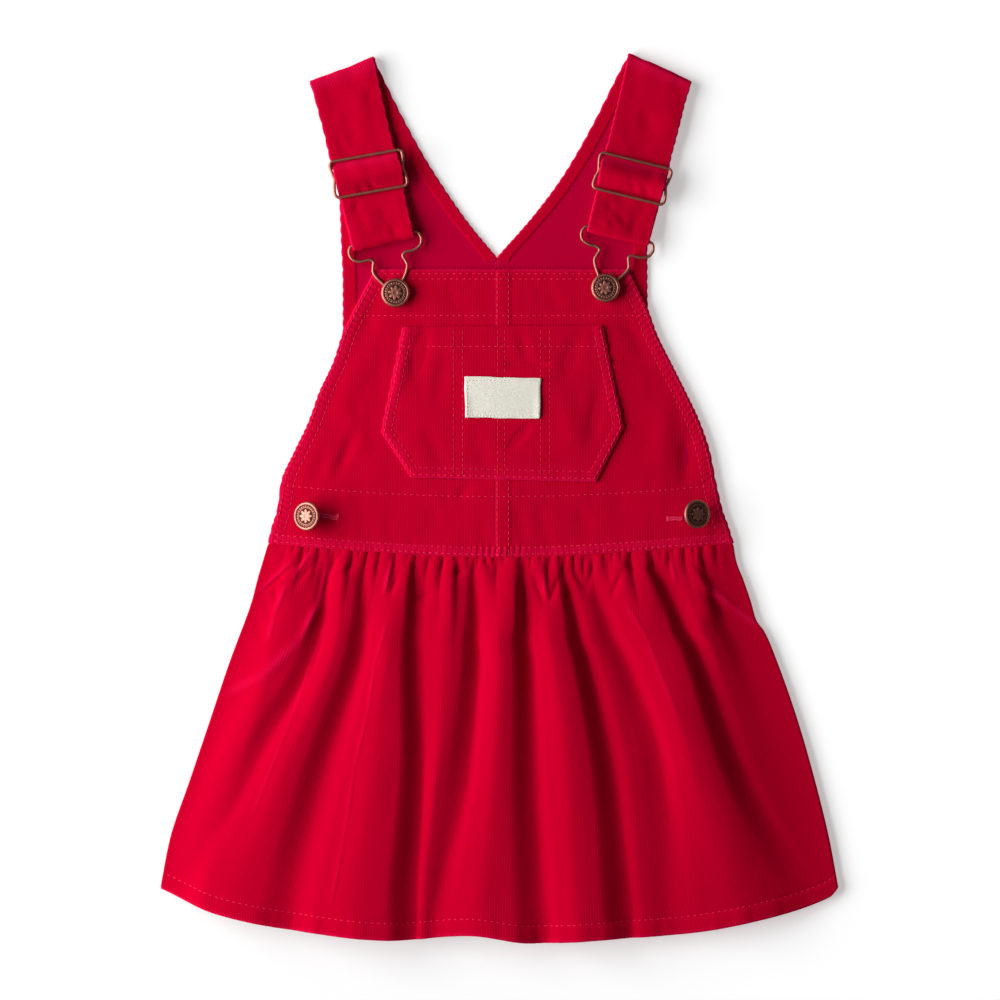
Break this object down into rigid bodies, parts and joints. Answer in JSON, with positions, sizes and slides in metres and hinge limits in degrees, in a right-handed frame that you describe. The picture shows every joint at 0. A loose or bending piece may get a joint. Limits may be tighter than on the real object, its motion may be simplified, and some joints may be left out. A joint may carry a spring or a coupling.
{
  "type": "pinafore dress",
  "caption": "Child's corduroy pinafore dress laid flat: bib with a patch pocket, gathered skirt, and straps that run through sliders to hooks on the bib buttons.",
  "frame": {"origin": "middle of the dress's box, on the surface it lies on", "axes": "+X across the dress to the viewer's right, +Y up the dress from hem to straps, +Z off the surface, from back to front"},
  "size_m": [0.3961, 0.5198, 0.0179],
  "materials": {
    "corduroy": "16-wale cotton corduroy",
    "label": "plain woven tape",
    "antique_copper": "brushed antique copper plate"
  },
  "bodies": {
    "root": {"back_left": "corduroy", "back_right": "corduroy", "bib_left": "corduroy", "bib_right": "corduroy", "pocket": "corduroy", "label": "label", "skirt_front": "corduroy", "skirt_back": "corduroy", "slider_left": "antique_copper", "slider_right": "antique_copper", "hook_left": "antique_copper", "hook_right": "antique_copper", "bib_button_left": "antique_copper", "bib_button_right": "antique_copper", "waist_button_left": "antique_copper", "waist_button_right": "antique_copper"}
  },
  "joints": []
}
